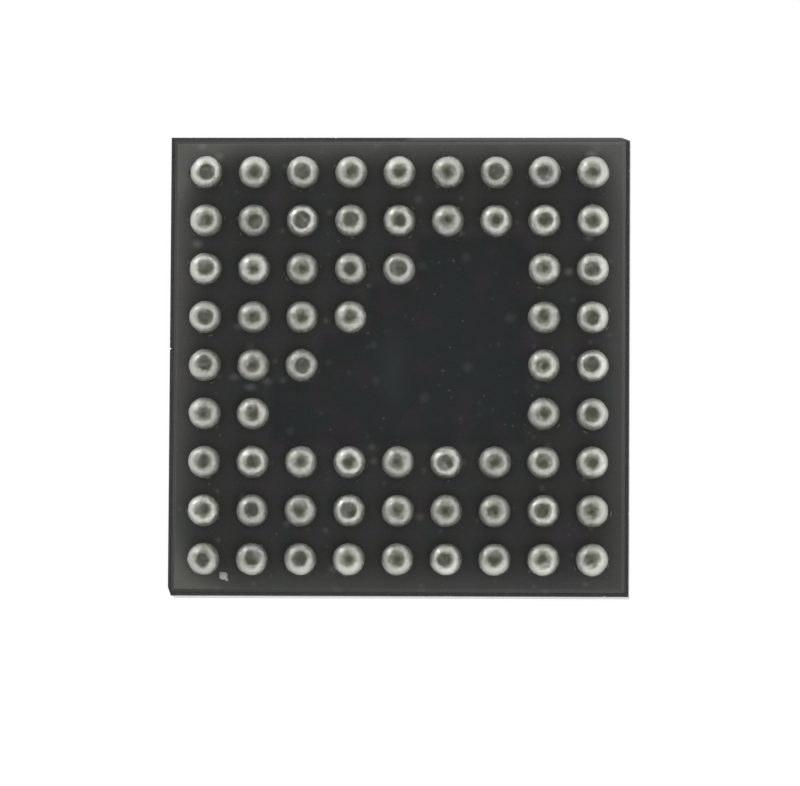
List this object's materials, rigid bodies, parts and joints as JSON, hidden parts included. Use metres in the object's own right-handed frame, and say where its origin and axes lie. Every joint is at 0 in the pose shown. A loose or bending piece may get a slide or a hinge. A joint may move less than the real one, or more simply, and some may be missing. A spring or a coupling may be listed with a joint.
{
  "type": "audio chip",
  "caption": "Square wafer-level audio chip lying on its back: a bare silicon die under a dark polymer skin, with a part-filled grid of round solder balls on top.",
  "frame": {"origin": "centre of the flat back face, which the chip lies on", "axes": "+Z out of the back face towards the solder balls, +Y towards ball row a, -X towards ball column 1"},
  "size_m": [0.0038, 0.0038, 0.0006],
  "materials": {
    "solder": "satin",
    "upper_polymer": "gloss",
    "lower_polymer": "satin",
    "silicon": "satin",
    "backside_film": "matte",
    "copper": "satin",
    "pad_aluminium": "satin"
  },
  "bodies": {
    "root": {"backside_film": "backside_film", "silicon_die": "silicon", "lower_polymer_layer": "lower_polymer", "upper_polymer_layer": "upper_polymer", "die_pads_row_a": "pad_aluminium", "copper_traces_row_a": "copper", "under_bump_pads_row_a": "copper", "solder_balls_row_a": "solder", "die_pads_row_b": "pad_aluminium", "copper_traces_row_b": "copper", "under_bump_pads_row_b": "copper", "solder_balls_row_b": "solder", "die_pads_row_c": "pad_aluminium", "copper_traces_row_c": "copper", "under_bump_pads_row_c": "copper", "solder_balls_row_c": "solder", "die_pads_row_d": "pad_aluminium", "copper_traces_row_d": "copper", "under_bump_pads_row_d": "copper", "solder_balls_row_d": "solder", "die_pads_row_e": "pad_aluminium", "copper_traces_row_e": "copper", "under_bump_pads_row_e": "copper", "solder_balls_row_e": "solder", "die_pads_row_f": "pad_aluminium", "copper_traces_row_f": "copper", "under_bump_pads_row_f": "copper", "solder_balls_row_f": "solder", "die_pads_row_g": "pad_aluminium", "copper_traces_row_g": "copper", "under_bump_pads_row_g": "copper", "solder_balls_row_g": "solder", "die_pads_row_h": "pad_aluminium", "copper_traces_row_h": "copper", "under_bump_pads_row_h": "copper", "solder_balls_row_h": "solder", "die_pads_row_j": "pad_aluminium", "copper_traces_row_j": "copper", "under_bump_pads_row_j": "copper", "solder_balls_row_j": "solder"}
  },
  "joints": []
}
